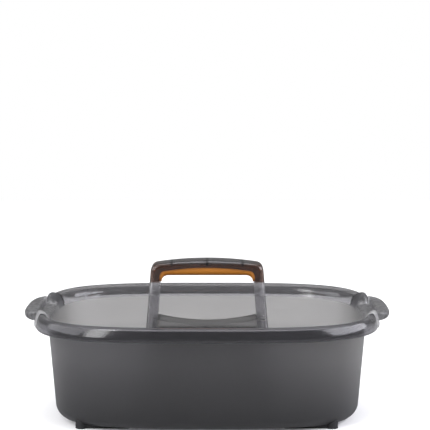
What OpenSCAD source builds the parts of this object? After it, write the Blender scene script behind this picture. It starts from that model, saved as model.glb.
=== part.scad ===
// Carry caddy: an open tub with a rolled rim, two end grips, a hollow centre post and a bar handle.
// Origin: centre of the footprint on the floor. X runs along the tub, Y front to back, +Z up.

/* [Tub] */
// Length over the rolled rim, without the end grips
rim_length = 382; // [350:2:420]
// Depth over the rolled rim
rim_depth = 279.4; // [250:0.2:320]
// Height of the rim above the floor
rim_height = 118.5; // [100:0.5:145]
// Thickness of the tub's walls and floor
wall = 2.2; // [1.8:0.1:2.8]
// Distance from the rim's outer edge in to the wall
rim_width = 13.2; // [11:0.1:16]
// Height of the rim's hanging skirt
rim_drop = 14.4; // [13:0.2:18]
// Narrowing of each end from the rim to the base
end_draft = 9; // [4:0.2:16]
// Narrowing of the front and back from the rim to the base
side_draft = 10.8; // [4:0.2:16]
// Radius between walls and floor
base_radius = 13; // [11:1:20]
// Squareness of the outline at the rim
rim_squareness = 3.5; // [3:0.1:4.5]
// Squareness of the outline at the base
base_squareness = 3.8; // [3:0.1:4.5]

/* [End grips] */
// How far each grip stands out past the rim
grip_reach = 14.6; // [10:0.2:20]
// Half of the grip's length front to back
grip_half = 49; // [40:1:56]
// Thickness of the grip's rounded edge
grip_thickness = 8.8; // [8:0.2:11]
// Depth of the thumb hollow between grip and wall
grip_dip = 7; // [4:0.5:8]
// Spacing of the ribs under the grip
grip_rib_pitch = 11; // [8:1:16]

/* [Centre post] */
// Depth of the saddle front to back
post_depth = 30; // [26:0.5:36]
// Drop from the rim to the lowest point of the saddle
saddle_drop = 21.2; // [16:0.2:30]
// How much the saddle rises towards its ends
saddle_rise = 7; // [2:0.5:8]
// Height of the shoulders that carry the legs
shoulder_height = 60; // [45:1:70]

/* [Handle] */
// Height of the top of the handle above the floor
handle_height = 170.6; // [162:0.2:200]
// Width over the legs just below the corners
handle_span = 127.6; // [110:0.2:136]
// Lean of each leg in degrees
leg_lean = 4.9; // [2:0.1:7]
// Thickness of a leg in the plane of the handle
leg_thickness = 12.2; // [10:0.2:14]
// Depth of the handle front to back
handle_depth = 29.2; // [26:0.2:34]
// Thickness of the handle's channel
shell_wall = 2.2; // [1.8:0.1:2.6]
// Thickness of the channel at the middle of the bar
bar_thickness = 7.8; // [7.5:0.1:11]

/* [Grip insert] */
// How far the insert's belly hangs below the middle of the channel
belly_drop = 10.5; // [7:0.1:12]
// Distance of the insert's ends in from the outside of the legs
insert_end_inset = 4.3; // [3.8:0.1:8]

/* [Feet] */
// Height of the tub's underside above the floor
foot_height = 3; // [2:0.5:5]
// Diameter of the round end of each foot
foot_pad = 13; // [10:0.5:16]
// Width of each foot's rail
foot_rail = 5; // [4:0.5:8]
// Length of each foot
foot_length = 59; // [45:1:70]
// Distance of each round end in from the end of the tub's base
foot_inset_x = 33; // [26:1:45]
// Distance of each round end in from the front or back of the tub's base
foot_inset_y = 25.5; // [20:0.5:35]

/* [Hidden] */

rim_x = rim_length / 2;
rim_y = rim_depth / 2;
skirt_fade = 9;
knee_inner = grip_half - 12;
knee_outer = grip_half - 1;
fit_gap = 0.15;

smoke = [0.33, 0.32, 0.35];
orange = [0.93, 0.50, 0.06];
black_rubber = [0.07, 0.07, 0.08];

// ---- plan outline: a rounded superellipse, sampled closely at the grips ----
function outline_point(a, b, n, t) =
    [a * sign(cos(t)) * pow(abs(cos(t)), 2 / n), b * sign(sin(t)) * pow(abs(sin(t)), 2 / n)];
function angle_of_y(y) = asin(pow(y / rim_y, rim_squareness / 2));
function angle_of_x(x) = acos(pow(x / rim_x, rim_squareness / 2));

flat_steps = 3;
knee_steps = 6;
corner_steps = 6;
side_steps = 9;
corner_y = rim_y * pow(0.5, 1 / rim_squareness);
corner_x = rim_x * pow(0.5, 1 / rim_squareness);
knee_start = knee_inner - 3;
knee_end = knee_outer + 4;
quarter_angles = concat(
    [for (k = [0:flat_steps - 1]) angle_of_y(knee_start * k / flat_steps)],
    [for (k = [0:knee_steps - 1]) angle_of_y(knee_start + (knee_end - knee_start) * k / knee_steps)],
    [for (k = [0:corner_steps - 1]) angle_of_y(knee_end + (corner_y - knee_end) * k / corner_steps)],
    [for (k = [0:side_steps]) angle_of_x(corner_x * cos(90 * k / side_steps))]);
quarter_count = len(quarter_angles);
plan_angles = concat(
    quarter_angles,
    [for (k = [quarter_count - 2:-1:0]) 180 - quarter_angles[k]],
    [for (k = [1:quarter_count - 1]) 180 + quarter_angles[k]],
    [for (k = [quarter_count - 2:-1:1]) 360 - quarter_angles[k]]);

// ---- thumb hollow: how far the rim's top sinks at a given distance from the middle of an end ----
function clamp01(s) = max(0, min(1, s));
function hollow_at(y) =
    grip_dip * (1 + cos(180 * clamp01((abs(y) - knee_inner) / (knee_outer - knee_inner)))) / 2;
function sunk(depth, y) = depth + hollow_at(y) * max(0, 1 - depth / skirt_fade);

// ---- rings of the tub, from the middle of the underside round to the middle of the floor ----
straight_height = rim_height - 6 - foot_height;
function wall_inset_x(z) = rim_width + end_draft * (rim_height - 6 - z) / straight_height;
function wall_inset_y(z) = rim_width + side_draft * (rim_height - 6 - z) / straight_height;
function squareness(z) =
    base_squareness + (rim_squareness - base_squareness) * clamp01((z - foot_height) / straight_height);

function flat_ring(inset_x, inset_y, z) =
    [for (t = plan_angles)
        let (p = outline_point(rim_x - inset_x, rim_y - inset_y, squareness(z), t))
        [p[0], p[1], z]];
function wall_ring(z, offset) = flat_ring(wall_inset_x(z) + offset, wall_inset_y(z) + offset, z);
function top_ring(inset, depth) =
    [for (t = plan_angles)
        let (p = outline_point(rim_x - inset, rim_y - inset, rim_squareness, t))
        [p[0], p[1], rim_height - sunk(depth, p[1])]];
function roof_ring(inset, depth) =
    [for (t = plan_angles)
        let (p = outline_point(rim_x - inset, rim_y - inset, rim_squareness, t))
        [p[0], p[1], rim_height - wall - sunk(depth - wall, p[1])]];

corner_rings = 4;
inner_radius = base_radius - wall;
function base_rings(offset, radius, floor_z) =
    [for (k = [0:corner_rings])
        let (a = 90 * k / corner_rings, z = floor_z + radius * (1 - cos(a)))
        wall_ring(z, offset + radius * (1 - sin(a)))];
under_rings = base_rings(0, base_radius, foot_height);
floor_rings = base_rings(wall, inner_radius, foot_height + wall);

function wall_heights(low) = [for (k = [0.5, 1]) low + (rim_height - 9 - low) * k];
outer_wall_rings = [for (z = wall_heights(foot_height + base_radius)) wall_ring(z, 0)];
inner_wall_rings = [for (z = wall_heights(foot_height + base_radius)) wall_ring(z, wall)];

channel_rings = [
    roof_ring(rim_width - 0.2, 6.2), roof_ring(rim_width - 1.8, wall + 0.4), roof_ring(5.4, wall + 0.3),
    roof_ring(3.2, wall + 2), roof_ring(wall + 0.3, 9), roof_ring(wall + 0.4, rim_drop)];
skirt_rings = [
    top_ring(0.6, rim_drop), top_ring(0.1, rim_drop - 2), top_ring(0, 9), top_ring(0.2, 6.4),
    top_ring(0.7, 3.6), top_ring(1.7, 1.5), top_ring(3.2, 0.4), top_ring(8.6, 0)];
lip_rings = [
    top_ring(10.4, 0.4), top_ring(12.2, 1.8), top_ring(rim_width + 1, 5)];

function reversed(list) = [for (k = [len(list) - 1:-1:0]) list[k]];
tub_rings = concat(
    under_rings, outer_wall_rings, channel_rings, skirt_rings, lip_rings,
    reversed(inner_wall_rings), reversed(floor_rings));

// ---- a closed body through equal rings, capped at both ends ----
module loft(rings) {
    n = len(rings[0]);
    points = [for (ring = rings) for (p = ring) p];
    sides = [for (i = [0:len(rings) - 2]) for (j = [0:n - 1])
        let (k = (j + 1) % n)
        each [[i * n + j, (i + 1) * n + k, i * n + k], [i * n + j, (i + 1) * n + j, (i + 1) * n + k]]];
    first_cap = [[for (j = [0:n - 1]) j]];
    last_cap = [[for (j = [n - 1:-1:0]) (len(rings) - 1) * n + j]];
    polyhedron(points, concat(first_cap, sides, last_cap), convexity = 10);
}

// ---- end grips ----
function rim_edge_x(y) = rim_x * pow(1 - pow(abs(y) / rim_y, rim_squareness), 1 / rim_squareness);
function grip_width(y) = grip_reach * pow(max(0, 1 - pow(abs(y) / grip_half, 2.8)), 1 / 2.8);
grip_top = rim_height;
grip_mid = grip_top - grip_thickness / 2;
grip_root = 1.4;
function grip_section(y, shrink) =
    let (inner = rim_edge_x(y) - grip_root + shrink * 0.8,
         outer = rim_edge_x(y) + max(0.4, grip_width(y)) - shrink,
         r = grip_thickness / 2 - shrink,
         rx = min(r, max(0.3, (outer - inner) * 0.6)),
         lip = min(2, max(0.2, (outer - inner) * 0.3)))
    concat(
        [for (a = [shrink > 0 ? 0 : -90:30:90]) [outer - rx + rx * cos(a), y, grip_mid + r * sin(a)]],
        [for (a = [100:40:180]) [inner + lip + lip * cos(a), y, grip_mid + r - lip + lip * sin(a)]],
        [[inner, y, shrink > 0 ? grip_mid - grip_thickness : grip_mid - r]],
        shrink > 0 ? [[outer - min(1.4, rx / 2), y, grip_mid - grip_thickness]] : []);
grip_stations = 16;
function grip_rings(shrink, reach) =
    [for (k = [0:grip_stations]) reversed(grip_section(-reach * cos(180 * k / grip_stations), shrink))];

module grip_body() {
    loft(grip_rings(0, grip_half - 0.2));
}
module grip_hollow() {
    loft(grip_rings(wall, grip_half - 9));
}
module grip_ribs() {
    rib_count = floor((grip_half - 12) / grip_rib_pitch);
    rib_r = 0.7;
    flange_low = rim_height - rim_drop + 2;
    flange_high = rim_height - grip_dip - 1.4;
    edge_low = grip_top - grip_thickness + 0.5;
    edge_high = grip_top - wall + 0.3;
    for (k = [-rib_count:rib_count]) {
        y = k * grip_rib_pitch;
        x_out = rim_edge_x(y) + grip_width(y) - wall;
        hull() for (x = [rim_x - rim_width - 0.5, rim_x - wall / 2])
            translate([x, y, flange_low]) cylinder(r = rib_r, h = flange_high - flange_low, $fn = 8);
        hull() {
            translate([rim_x, y, edge_low]) cylinder(r = rib_r, h = edge_high - edge_low, $fn = 8);
            translate([x_out, y, edge_low + 1.5]) cylinder(r = rib_r, h = edge_high - edge_low - 3, $fn = 8);
        }
    }
}
module at_both_ends() {
    children();
    rotate([0, 0, 180]) children();
}

// ---- centre post of the tub ----
leg_slope = tan(leg_lean);
shoulder_z = shoulder_height;
floor_top = foot_height + wall;
saddle_z = rim_height - saddle_drop;
saddle_top = saddle_z + saddle_rise;
function leg_outer_x(z) = handle_span / 2 + (handle_height - 12 - z) * leg_slope;
function leg_inner_x(z) = leg_outer_x(z) - leg_thickness / cos(leg_lean);
saddle_half = leg_inner_x(saddle_top);
saddle_radius = (saddle_half * saddle_half + saddle_rise * saddle_rise) / (2 * saddle_rise);
tongue_top = saddle_top + 3;
tongue_depth = handle_depth - 2 * shell_wall - 2 * fit_gap;
post_base_x = leg_outer_x(shoulder_z) + 8;
post_base_y = post_depth / 2 + 7;

module tapered_block(x0, y0, z0, x1, y1, z1, r) {
    hull() for (sx = [-1, 1]) for (sy = [-1, 1]) {
        translate([sx * (x0 - r), sy * (y0 - r), z0]) cylinder(r = r, h = 0.2, $fn = 32);
        translate([sx * (x1 - r), sy * (y1 - r), z1 - 0.2]) cylinder(r = r, h = 0.2, $fn = 32);
    }
}
module post_lower(inset, z0, z1) {
    tapered_block(post_base_x - inset, post_base_y - inset, z0,
        leg_outer_x(shoulder_z) + 1.2 - inset, post_depth / 2 + 1.6 - inset, z1, 5 - inset);
}
module post_upper(inset, z0, z1) {
    tapered_block(leg_inner_x(z0) - 0.3 - inset, post_depth / 2 + 1.2 - inset, z0,
        leg_inner_x(z1) - 0.3 - inset, post_depth / 2 - inset, z1, 1.2 + inset / 4);
}
module tongues() {
    tapered_block(leg_inner_x(shoulder_z) + 5, tongue_depth / 2, shoulder_z - 1,
        leg_inner_x(tongue_top) + 5, tongue_depth / 2, tongue_top, 1.5);
}
module saddle_cut() {
    translate([0, 0, saddle_z + saddle_radius]) rotate([90, 0, 0])
        cylinder(r = saddle_radius, h = 2 * rim_y, center = true, $fn = 256);
}
module post_body() {
    post_lower(0, floor_top - 1, shoulder_z);
    difference() {
        union() {
            post_upper(0, shoulder_z - 1, saddle_top);
            tongues();
        }
        intersection() {
            saddle_cut();
            translate([0, 0, saddle_z + 20]) cube([2 * saddle_half, rim_depth, 60], center = true);
        }
    }
}
module post_cavity() {
    post_lower(wall, foot_height - 2, shoulder_z - wall);
    post_upper(wall, shoulder_z - wall - 1, saddle_z - wall);
}

module tub() {
    color(smoke) difference() {
        union() {
            difference() {
                union() {
                    loft(tub_rings);
                    at_both_ends() grip_body();
                }
                at_both_ends() grip_hollow();
            }
            at_both_ends() grip_ribs();
            post_body();
        }
        post_cavity();
    }
}

// ---- handle: an inverted channel that follows an outer and an inner outline ----
bar_radius = 382;
corner_radius = 9;
corner_x_mid = handle_span / 2 - corner_radius * cos(leg_lean);
bar_tilt = asin(corner_x_mid / (bar_radius - corner_radius));
corner_mid_z = handle_height - bar_radius + (bar_radius - corner_radius) * cos(bar_tilt);
underside_radius = 310;
inner_corner_reach = 14.8;
underside_half = handle_span / 2 - inner_corner_reach;
underside_z = handle_height - bar_thickness;
leg_top_z = corner_mid_z + corner_radius * sin(leg_lean);
function under_edge_z(x) = underside_z - underside_radius + sqrt(underside_radius * underside_radius - x * x);
function leg_line_x(z) = corner_x_mid + corner_radius * cos(leg_lean) + (leg_top_z - z) * leg_slope;
inner_leg_top_z = under_edge_z(underside_half) - 6;
function inner_leg_x(z) = leg_line_x(z) - leg_thickness / cos(leg_lean);

arc_steps = 8;
bar_steps = 9;
function outer_half() = concat(
    [for (z = [shoulder_z, saddle_top, inner_leg_top_z]) [leg_line_x(z), z]],
    [for (k = [0:arc_steps])
        let (a = leg_lean + (90 - bar_tilt - leg_lean) * k / arc_steps)
        [corner_x_mid + corner_radius * cos(a), corner_mid_z + corner_radius * sin(a)]],
    [for (k = [1:bar_steps])
        let (a = bar_tilt * (1 - k / bar_steps))
        [bar_radius * sin(a), handle_height - bar_radius + bar_radius * cos(a)]]);
leg_narrowing = 1.6;
inner_bend = [inner_leg_x(inner_leg_top_z) + leg_narrowing, inner_leg_top_z];
inner_turn = [underside_half, under_edge_z(underside_half)];
inner_knee = [inner_bend[0] - 0.6, inner_turn[1] - 1.2];
function bend(p, q, r, s) = p * (1 - s) * (1 - s) + q * 2 * s * (1 - s) + r * s * s;
function inner_half() = concat(
    [for (z = [shoulder_z, saddle_top]) [inner_leg_x(z), z]],
    [for (k = [0:arc_steps + 1]) bend(inner_bend, inner_knee, inner_turn, k / (arc_steps + 1))],
    [for (k = [1:bar_steps])
        let (x = underside_half * (1 - k / bar_steps))
        [x, under_edge_z(x)]]);
function whole(half) = concat(half, [for (k = [len(half) - 2:-1:0]) [-half[k][0], half[k][1]]]);
outer_path = whole(outer_half());
inner_path = whole(inner_half());

edge_radius = 5;
half_depth = handle_depth / 2;
function skin(depth, y_half, top, r, reach) = concat(
    [[reach, -y_half]],
    [for (a = [0:30:90]) [top + r - r * sin(a), -y_half + r - r * cos(a)]],
    [for (a = [90:-30:0]) [top + r - r * sin(a), y_half - r + r * cos(a)]],
    [[reach, y_half]]);
function placed(o, i, list) =
    let (h = norm(i - o), d = (i - o) / h)
    [for (q = list) let (p = o + d * q[0]) [p[0], q[1], p[1]]];
function channel_section(k) =
    let (o = outer_path[k], i = inner_path[k], h = norm(i - o))
    concat(
        placed(o, i, skin(h, half_depth, 0, edge_radius, h)),
        placed(o, i, reversed(skin(h, half_depth - shell_wall, shell_wall, edge_radius - 1.8, h))));

module channel() {
    sections = [for (k = [0:len(outer_path) - 1]) channel_section(k)];
    n = len(sections[0]);
    m = n / 2;
    last = (len(sections) - 1) * n;
    points = [for (s = sections) for (p = s) p];
    sides = [for (i = [0:len(sections) - 2]) for (j = [0:n - 1])
        let (k = (j + 1) % n)
        each [[i * n + j, (i + 1) * n + k, i * n + k], [i * n + j, (i + 1) * n + j, (i + 1) * n + k]]];
    first_cap = [for (j = [0:m - 2]) [j, j + 1, n - 2 - j, n - 1 - j]];
    last_cap = [for (j = [0:m - 2]) [last + j, last + n - 1 - j, last + n - 2 - j, last + j + 1]];
    polyhedron(points, concat(first_cap, sides, last_cap), convexity = 10);
}
function bar_top_z(x) = handle_height - bar_radius + sqrt(bar_radius * bar_radius - x * x);
function insert_top_z(x) = underside_z + 2.2 - x * x / 800;

module bar_rib(x, thick) {
    z0 = insert_top_z(x) + 0.4;
    z1 = bar_top_z(x) - shell_wall + 0.2;
    y = half_depth - shell_wall + 0.2 - thick / 2;
    hull() for (s = [-1, 1]) translate([x, s * y, z0]) cylinder(r = thick / 2, h = z1 - z0, $fn = 16);
}
rib_end_inset = 9;
rib_spacing = (underside_half - rib_end_inset) / 2;
module leg_rib(z) {
    x = inner_leg_x(z) + leg_thickness - shell_wall - 3;
    y = half_depth - shell_wall - 0.6;
    hull() for (s = [-1, 1]) translate([x, s * y, z]) rotate([0, 90, 0])
        cylinder(r = 0.8, h = 3.4, $fn = 16);
}
module handle() {
    color(smoke) union() {
        channel();
        for (k = [-2:2]) bar_rib(k * rib_spacing, k % 2 == 0 ? 1.6 : 0.8);
        at_both_ends() for (k = [1:2]) leg_rib(tongue_top + 12 * k);
    }
}

// ---- soft insert that closes the underside of the bar ----
belly_z = underside_z - belly_drop;
insert_end_z = belly_z - 7;
belly_half = underside_half - 5;
insert_half = handle_span / 2 - insert_end_inset;
belly_turn = 7.8;
function belly_low(x) =
    let (s = clamp01((abs(x) - belly_half) / belly_turn))
    belly_z - (belly_z - insert_end_z) * (1 - sqrt(1 - s * s));
function insert_edge(x) =
    abs(x) < underside_half
        ? max(under_edge_z(x), belly_low(x) + 0.4)
        : min(under_edge_z(underside_half), belly_low(x) + 6);
insert_side = half_depth - shell_wall - fit_gap;
function insert_section(x) =
    let (low = belly_low(x), edge = insert_edge(x), top = insert_top_z(x))
    concat(
        [[x, insert_side - 0.8, top], [x, insert_side, top - 0.8]],
        [for (a = [0:15:180])
            [x, insert_side * sign(cos(a)) * pow(abs(cos(a)), 0.8), edge - (edge - low) * pow(sin(a), 0.8)]],
        [[x, -insert_side, top - 0.8], [x, -insert_side + 0.8, top]]);
insert_stations = concat(
    [for (k = [0:12]) belly_half * k / 12],
    [for (k = [1:7]) belly_half + belly_turn * sin(90 * k / 7)],
    [for (k = [1:2]) belly_half + belly_turn + (insert_half - belly_half - belly_turn) * k / 2]);
insert_xs = concat(
    [for (k = [len(insert_stations) - 1:-1:1]) -insert_stations[k]], insert_stations);

module grip_insert() {
    color(orange) loft([for (x = insert_xs) reversed(insert_section(x))]);
}

// ---- feet: a rail with a round end, shaped to the tub's underside ----
foot_end_x = rim_x - rim_width - end_draft - foot_inset_x;
foot_end_y = rim_y - rim_width - side_draft - foot_inset_y;
module foot_blank() {
    translate([foot_end_x, -foot_end_y, 0]) cylinder(d = foot_pad, h = base_radius * 0.9, $fn = 48);
    translate([foot_end_x - foot_length + foot_pad / 2 + foot_rail / 2, -foot_end_y - foot_rail / 2 - 1, 0])
        cube([foot_length - foot_pad / 2 - foot_rail / 2, foot_rail, base_radius * 0.9]);
    translate([foot_end_x - foot_length + foot_pad / 2 + foot_rail / 2, -foot_end_y - 1, 0])
        cylinder(d = foot_rail, h = base_radius * 0.9, $fn = 48);
}
module underside_body() {
    loft(concat(under_rings, [outer_wall_rings[0]]));
}
module foot() {
    difference() {
        foot_blank();
        underside_body();
    }
}
module foot_front_right() {
    color(black_rubber) foot();
}
module foot_front_left() {
    color(black_rubber) mirror([1, 0, 0]) foot();
}
module foot_back_right() {
    color(black_rubber) mirror([0, 1, 0]) foot();
}
module foot_back_left() {
    color(black_rubber) rotate([0, 0, 180]) foot();
}

tub();
handle();
grip_insert();
foot_front_left();
foot_front_right();
foot_back_left();
foot_back_right();
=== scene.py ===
"""Carry caddy in smoke-grey plastic: an open tub with a rolled rim and two end grips, a handle with a soft
orange insert, and four rubber feet. Lengths are in metres; MM turns millimetres into them."""
import math
from collections import namedtuple

import bmesh
import bpy
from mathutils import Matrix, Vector


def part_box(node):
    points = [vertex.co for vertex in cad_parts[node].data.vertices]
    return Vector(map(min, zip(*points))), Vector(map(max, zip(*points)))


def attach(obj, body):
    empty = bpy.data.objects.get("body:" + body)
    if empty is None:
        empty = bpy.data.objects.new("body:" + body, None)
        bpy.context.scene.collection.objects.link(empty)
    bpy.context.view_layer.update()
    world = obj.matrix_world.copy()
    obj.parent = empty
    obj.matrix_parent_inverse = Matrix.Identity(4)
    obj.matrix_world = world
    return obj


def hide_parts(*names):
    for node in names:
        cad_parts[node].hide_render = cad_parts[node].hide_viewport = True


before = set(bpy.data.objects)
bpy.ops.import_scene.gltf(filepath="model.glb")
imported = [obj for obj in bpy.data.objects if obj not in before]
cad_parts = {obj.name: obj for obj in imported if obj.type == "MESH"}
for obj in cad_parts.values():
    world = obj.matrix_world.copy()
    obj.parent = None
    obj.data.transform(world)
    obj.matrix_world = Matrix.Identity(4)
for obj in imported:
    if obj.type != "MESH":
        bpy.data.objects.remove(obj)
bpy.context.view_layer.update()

MM = 0.001
BODY = "root"

# ---- sizes taken from the frame ----
TUB_LOW, TUB_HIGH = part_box("tub")
HANDLE_LOW, HANDLE_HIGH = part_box("handle")
INSERT_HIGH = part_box("grip_insert")[1]

# ---- tub ----
GRIP_REACH = 14.6 * MM
RIM_HALF_LENGTH = TUB_HIGH.x - GRIP_REACH
RIM_HALF_DEPTH = TUB_HIGH.y
RIM_TOP = TUB_HIGH.z
UNDERSIDE = TUB_LOW.z
WALL = 2.2 * MM
RIM_WIDTH = 13.2 * MM
RIM_DROP = 14.4 * MM
END_DRAFT = 9 * MM
SIDE_DRAFT = 10.8 * MM
BASE_RADIUS = 13 * MM
RIM_SQUARENESS = 3.5
BASE_SQUARENESS = 3.8
WALL_TOP = RIM_TOP - 6 * MM
POINTS_AROUND = 480
POLE = 1e-6

# ---- end grips ----
GRIP_HALF = 49 * MM
GRIP_THICKNESS = 8.8 * MM
GRIP_ROUNDNESS = 2.8
GRIP_ROOT = 1.4 * MM
THUMB_DIP = 7 * MM
KNEE_INNER = GRIP_HALF - 12 * MM
KNEE_OUTER = GRIP_HALF - 1 * MM
DIP_FADE = 9 * MM
COLLAR_MIDDLE = 53 * MM
COLLAR_HALF = 10 * MM
COLLAR_RISE = 2.6 * MM
GRIP_RIB_PITCH = 11 * MM
GRIP_RIB_WIDTH = 1.4 * MM
GRIP_RIBS_EACH_WAY = int((GRIP_HALF - 12 * MM) / GRIP_RIB_PITCH)

# ---- handle ----
SHELL = 2.2 * MM
HANDLE_TOP = HANDLE_HIGH.z
SHOULDER_Z = HANDLE_LOW.z
HALF_HANDLE_DEPTH = HANDLE_HIGH.y
LEG_LEAN = math.radians(4.9)
LEG_SLOPE = math.tan(LEG_LEAN)
LEG_THICKNESS = 12.2 * MM
LEG_REFERENCE_Z = HANDLE_TOP - 12 * MM
HALF_SPAN = 63.8 * MM
BAR_RADIUS = 382 * MM
BAR_THICKNESS = 7.8 * MM
CORNER_RADIUS = 9 * MM
EDGE_RADIUS = 5 * MM
UNDERSIDE_RADIUS = 310 * MM
LEG_NARROWING = 1.6 * MM
UNDERSIDE_HALF = HALF_SPAN - 14.8 * MM
UNDERSIDE_Z = HANDLE_TOP - BAR_THICKNESS
BAR_RIB_PITCH = 20 * MM
WIDE_RIB_HALF = 0.8 * MM
NARROW_RIB_HALF = 0.4 * MM
LEG_RIB_PITCH = 12 * MM

# ---- centre post ----
SADDLE_Z = RIM_TOP - 21.2 * MM
SADDLE_RISE = 7 * MM
SADDLE_TOP = SADDLE_Z + SADDLE_RISE
HALF_POST_DEPTH = 15 * MM
TONGUE_TOP = SADDLE_TOP + 3 * MM
FIT_GAP = 0.15 * MM

# ---- orange insert ----
BELLY_Z = UNDERSIDE_Z - 10.5 * MM
BELLY_HALF = UNDERSIDE_HALF - 5 * MM
BELLY_TURN = 7.8 * MM
INSERT_END_Z = BELLY_Z - 7 * MM
INSERT_HALF_DEPTH = HALF_HANDLE_DEPTH - SHELL - FIT_GAP
INSERT_TOP_RADIUS = 400 * MM
INSERT_ROUNDNESS = 0.8


# =====================================================================================
# Mesh helpers
# =====================================================================================
def new_object(name, mesh):
    thing = bpy.data.objects.new(name, mesh)
    bpy.context.scene.collection.objects.link(thing)
    return thing


def drop(thing):
    mesh = thing.data
    bpy.data.objects.remove(thing)
    bpy.data.meshes.remove(mesh)


def face_outwards(mesh):
    """Merges doubles and turns every face of a closed mesh outwards."""
    work = bmesh.new()
    work.from_mesh(mesh)
    bmesh.ops.remove_doubles(work, verts=work.verts, dist=1e-7)
    bmesh.ops.recalc_face_normals(work, faces=work.faces)
    if work.calc_volume(signed=True) < 0:
        bmesh.ops.reverse_faces(work, faces=work.faces)
    work.to_mesh(mesh)
    work.free()


def loft(name, sections):
    """A closed body through equal closed sections, capped at both ends."""
    count = len(sections[0])
    points = [point for section in sections for point in section]
    faces = [
        (i * count + j, i * count + (j + 1) % count, (i + 1) * count + (j + 1) % count, (i + 1) * count + j)
        for i in range(len(sections) - 1)
        for j in range(count)
    ]
    last = (len(sections) - 1) * count
    faces.append(tuple(range(count)))
    faces.append(tuple(range(last + count - 1, last - 1, -1)))
    mesh = bpy.data.meshes.new(name)
    mesh.from_pydata(points, [], faces)
    face_outwards(mesh)
    return new_object(name, mesh)


def apply_modifiers(thing):
    """Turns the evaluated object into a plain mesh."""
    graph = bpy.context.evaluated_depsgraph_get()
    mesh = bpy.data.meshes.new_from_object(thing.evaluated_get(graph))
    thing.modifiers.clear()
    thing.data = mesh


def combine(target, tool, operation):
    """Joins tool to target, or cuts it away, and removes tool."""
    modifier = target.modifiers.new("combine", "BOOLEAN")
    modifier.operation = operation
    modifier.solver = "MANIFOLD"
    modifier.object = tool
    apply_modifiers(target)
    drop(tool)
    if not target.data.polygons:
        raise RuntimeError("combining " + target.name + " left nothing")


def smooth(thing, sharp_degrees):
    thing.data.shade_smooth()
    thing.data.set_sharp_from_angle(angle=math.radians(sharp_degrees))


def spline(before, start, end, after, t):
    """A value on a smooth curve between start and end."""
    rising = (end - before) * t
    bending = (2 * before - 5 * start + 4 * end - after) * t**2
    twisting = (3 * start - before - 3 * end + after) * t**3
    return 0.5 * (2 * start + rising + bending + twisting)


def smooth_line(points, steps):
    """A smooth line through the points, with that many steps between neighbours."""
    padded = [points[0], *points, points[-1]]
    line = []
    for before, start, end, after in zip(padded, padded[1:], padded[2:], padded[3:]):
        for k in range(steps):
            t = k / steps
            line.append(tuple(spline(*values, t) for values in zip(before, start, end, after)))
    return line + [points[-1]]


def clamped(value):
    return max(0.0, min(1.0, value))


def mirrored(half):
    """A path given from one end to its middle, carried on to the other end."""
    return half + [(-x, z) for x, z in reversed(half[:-1])]


# =====================================================================================
# Node helpers
# =====================================================================================
def add_node(tree, kind, inputs=None, **settings):
    node = tree.nodes.new(kind)
    for name, value in settings.items():
        setattr(node, name, value)
    for socket, value in (inputs or {}).items():
        if isinstance(value, bpy.types.NodeSocket):
            tree.links.new(value, node.inputs[socket])
        else:
            node.inputs[socket].default_value = value
    return node


def calc(tree, operation, *values):
    """The result of one Math node."""
    return add_node(tree, "ShaderNodeMath", dict(enumerate(values)), operation=operation).outputs[0]


def make_sockets(tree, inputs, outputs):
    """Adds the group's named sockets and returns its input and output nodes."""
    for name, kind in inputs:
        tree.interface.new_socket(name, in_out="INPUT", socket_type="NodeSocket" + kind)
    for name, kind in outputs:
        tree.interface.new_socket(name, in_out="OUTPUT", socket_type="NodeSocket" + kind)
    return tree.nodes.new("NodeGroupInput"), tree.nodes.new("NodeGroupOutput")


def set_inputs(modifier, values):
    """Sets a geometry modifier's inputs by their sockets' identifiers."""
    for socket in modifier.node_group.interface.items_tree:
        if socket.in_out == "INPUT" and socket.name in values:
            modifier[socket.identifier] = values[socket.name]


def end_tree(tree, group_in, group_out, geometry):
    real = add_node(tree, "GeometryNodeRealizeInstances", {0: geometry})
    finished = add_node(
        tree,
        "GeometryNodeSetMaterial",
        {"Geometry": real.outputs[0], "Material": group_in.outputs["Material"]},
    )
    tree.links.new(finished.outputs[0], group_out.inputs[0])


# =====================================================================================
# Tub shell: rings of a rounded oblong, swept from the middle of the underside, up the outside,
# over the rim and down to the middle of the floor
# =====================================================================================
Ring = namedtuple("Ring", "half_length half_depth height squareness sink at_rim")


def squareness_at(height):
    share = clamped((height - UNDERSIDE) / (WALL_TOP - UNDERSIDE))
    return BASE_SQUARENESS + (RIM_SQUARENESS - BASE_SQUARENESS) * share


def wall_ring(height, offset):
    share = (WALL_TOP - height) / (WALL_TOP - UNDERSIDE)
    return Ring(
        RIM_HALF_LENGTH - RIM_WIDTH - END_DRAFT * share - offset,
        RIM_HALF_DEPTH - RIM_WIDTH - SIDE_DRAFT * share - offset,
        height,
        squareness_at(height),
        0.0,
        0.0,
    )


def rim_ring(inset, depth, below_skin=0.0):
    return Ring(
        RIM_HALF_LENGTH - inset,
        RIM_HALF_DEPTH - inset,
        RIM_TOP - depth,
        RIM_SQUARENESS,
        max(0.0, 1 - (depth - below_skin) / DIP_FADE),
        clamped((RIM_WIDTH - inset) / (6 * MM)),
    )


def flat_rings(outer, shares):
    return [
        outer._replace(half_length=outer.half_length * share, half_depth=outer.half_depth * share)
        for share in shares
    ]


def turn_rings(offset, radius, height, steps):
    """The rounded edge between the floor and the walls."""
    rings = []
    for k in range(steps + 1):
        angle = math.pi / 2 * k / steps
        up, inward = radius * (1 - math.cos(angle)), radius * (1 - math.sin(angle))
        rings.append(wall_ring(height + up, offset + inward))
    return rings


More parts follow.
